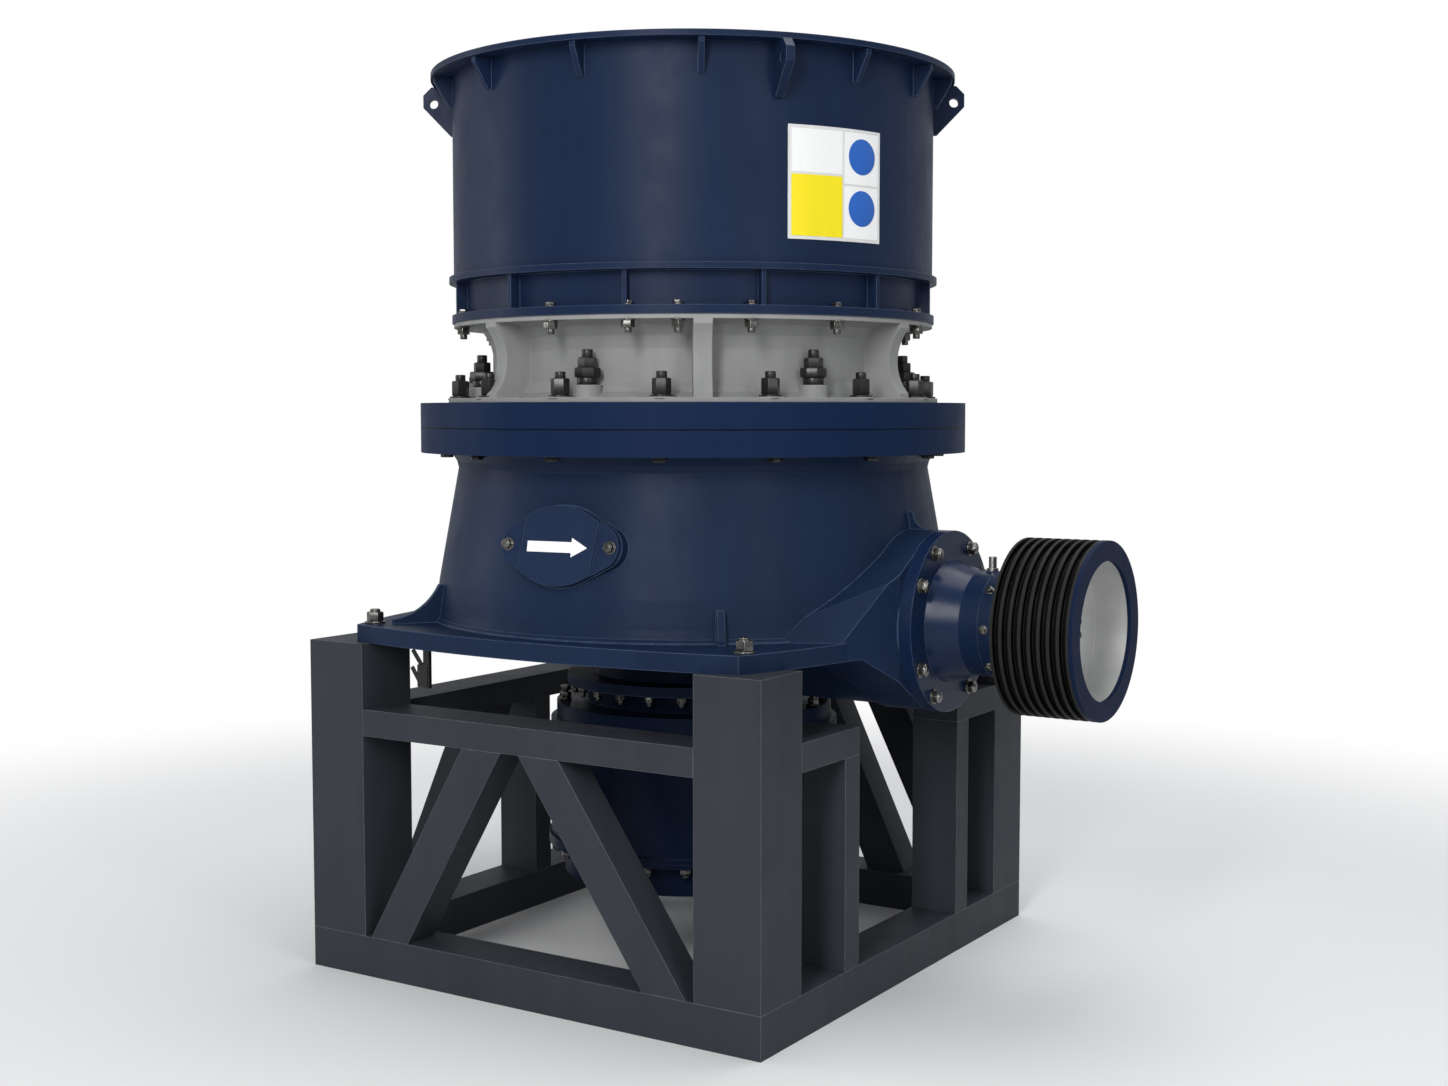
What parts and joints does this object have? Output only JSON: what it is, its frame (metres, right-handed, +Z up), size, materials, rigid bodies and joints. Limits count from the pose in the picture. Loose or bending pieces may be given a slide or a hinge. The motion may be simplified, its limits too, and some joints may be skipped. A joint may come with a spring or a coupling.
{
  "type": "hydraulic cone crusher",
  "caption": "Single-cylinder hydraulic cone crusher with round feed hopper and belt pulley, standing on a welded steel frame.",
  "frame": {"origin": "on the crusher's vertical axis, at floor level under the stand", "axes": "+Z up along the crusher's axis, +X along the drive shaft towards the pulley, -Y to the side with the inspection cover"},
  "size_m": [2.1658, 1.74, 2.646],
  "materials": {
    "frame_paint": "semi-gloss dark grey paint",
    "shell_blue": "dark blue paint on a casting",
    "ring_blue": "dark blue paint on a turned ring",
    "drive_blue": "dark blue paint on a casting",
    "cast_grey": "light grey primer on a casting",
    "manganese": "bare manganese steel casting",
    "hopper_blue": "dark blue paint on rolled plate",
    "label_sheet": "white enamelled sheet",
    "breather_steel": "bright turned steel",
    "machined_steel": "bright turned steel",
    "pulley_black": "black paint on turned cast iron",
    "cylinder_blue": "dark blue paint"
  },
  "bodies": {
    "machine": {"stand_base": "frame_paint", "post_front_left": "frame_paint", "post_front_right": "frame_paint", "post_back_left": "frame_paint", "post_back_right": "frame_paint", "top_rail_front": "frame_paint", "top_rail_back": "frame_paint", "top_rail_left": "frame_paint", "top_rail_right_front": "frame_paint", "top_rail_right_back": "frame_paint", "brace_front_left": "frame_paint", "brace_front_right": "frame_paint", "brace_back_left": "frame_paint", "brace_back_right": "frame_paint", "back_strut": "frame_paint", "brace_left": "frame_paint", "mid_post_right_front": "frame_paint", "mid_post_right_back": "frame_paint", "mid_post_left": "frame_paint", "bottom_shell": "shell_blue", "hub_and_arms": "shell_blue", "lower_ring": "ring_blue", "upper_ring": "ring_blue", "inspection_cover": "drive_blue", "top_shell": "cast_grey", "chamber_liner": "manganese", "mantle": "manganese", "spider": "cast_grey", "hopper_collar": "hopper_blue", "hopper_wall": "hopper_blue", "hopper_rim": "hopper_blue", "lifting_lug_front_right": "hopper_blue", "lifting_lug_back_right": "hopper_blue", "lifting_lug_back_left": "hopper_blue", "lifting_lug_front_left": "hopper_blue", "label_plate": "label_sheet", "drive_housing": "drive_blue", "housing_end_cover": "drive_blue", "breather": "breather_steel", "hydraulic_cylinder": "cylinder_blue", "cylinder_bottom_cover": "cylinder_blue"},
    "rotor": {"drive_shaft": "machined_steel", "pulley_rim": "pulley_black", "pulley_face_ring": "drive_blue", "pulley_dish": "machined_steel"}
  },
  "joints": [
    {"name": "drive_shaft_spin", "type": "hinge", "parent": "machine", "child": "rotor", "pos_m": [0, 0, 1.0545], "axis": [1, 0, 0], "continuous": true}
  ]
}
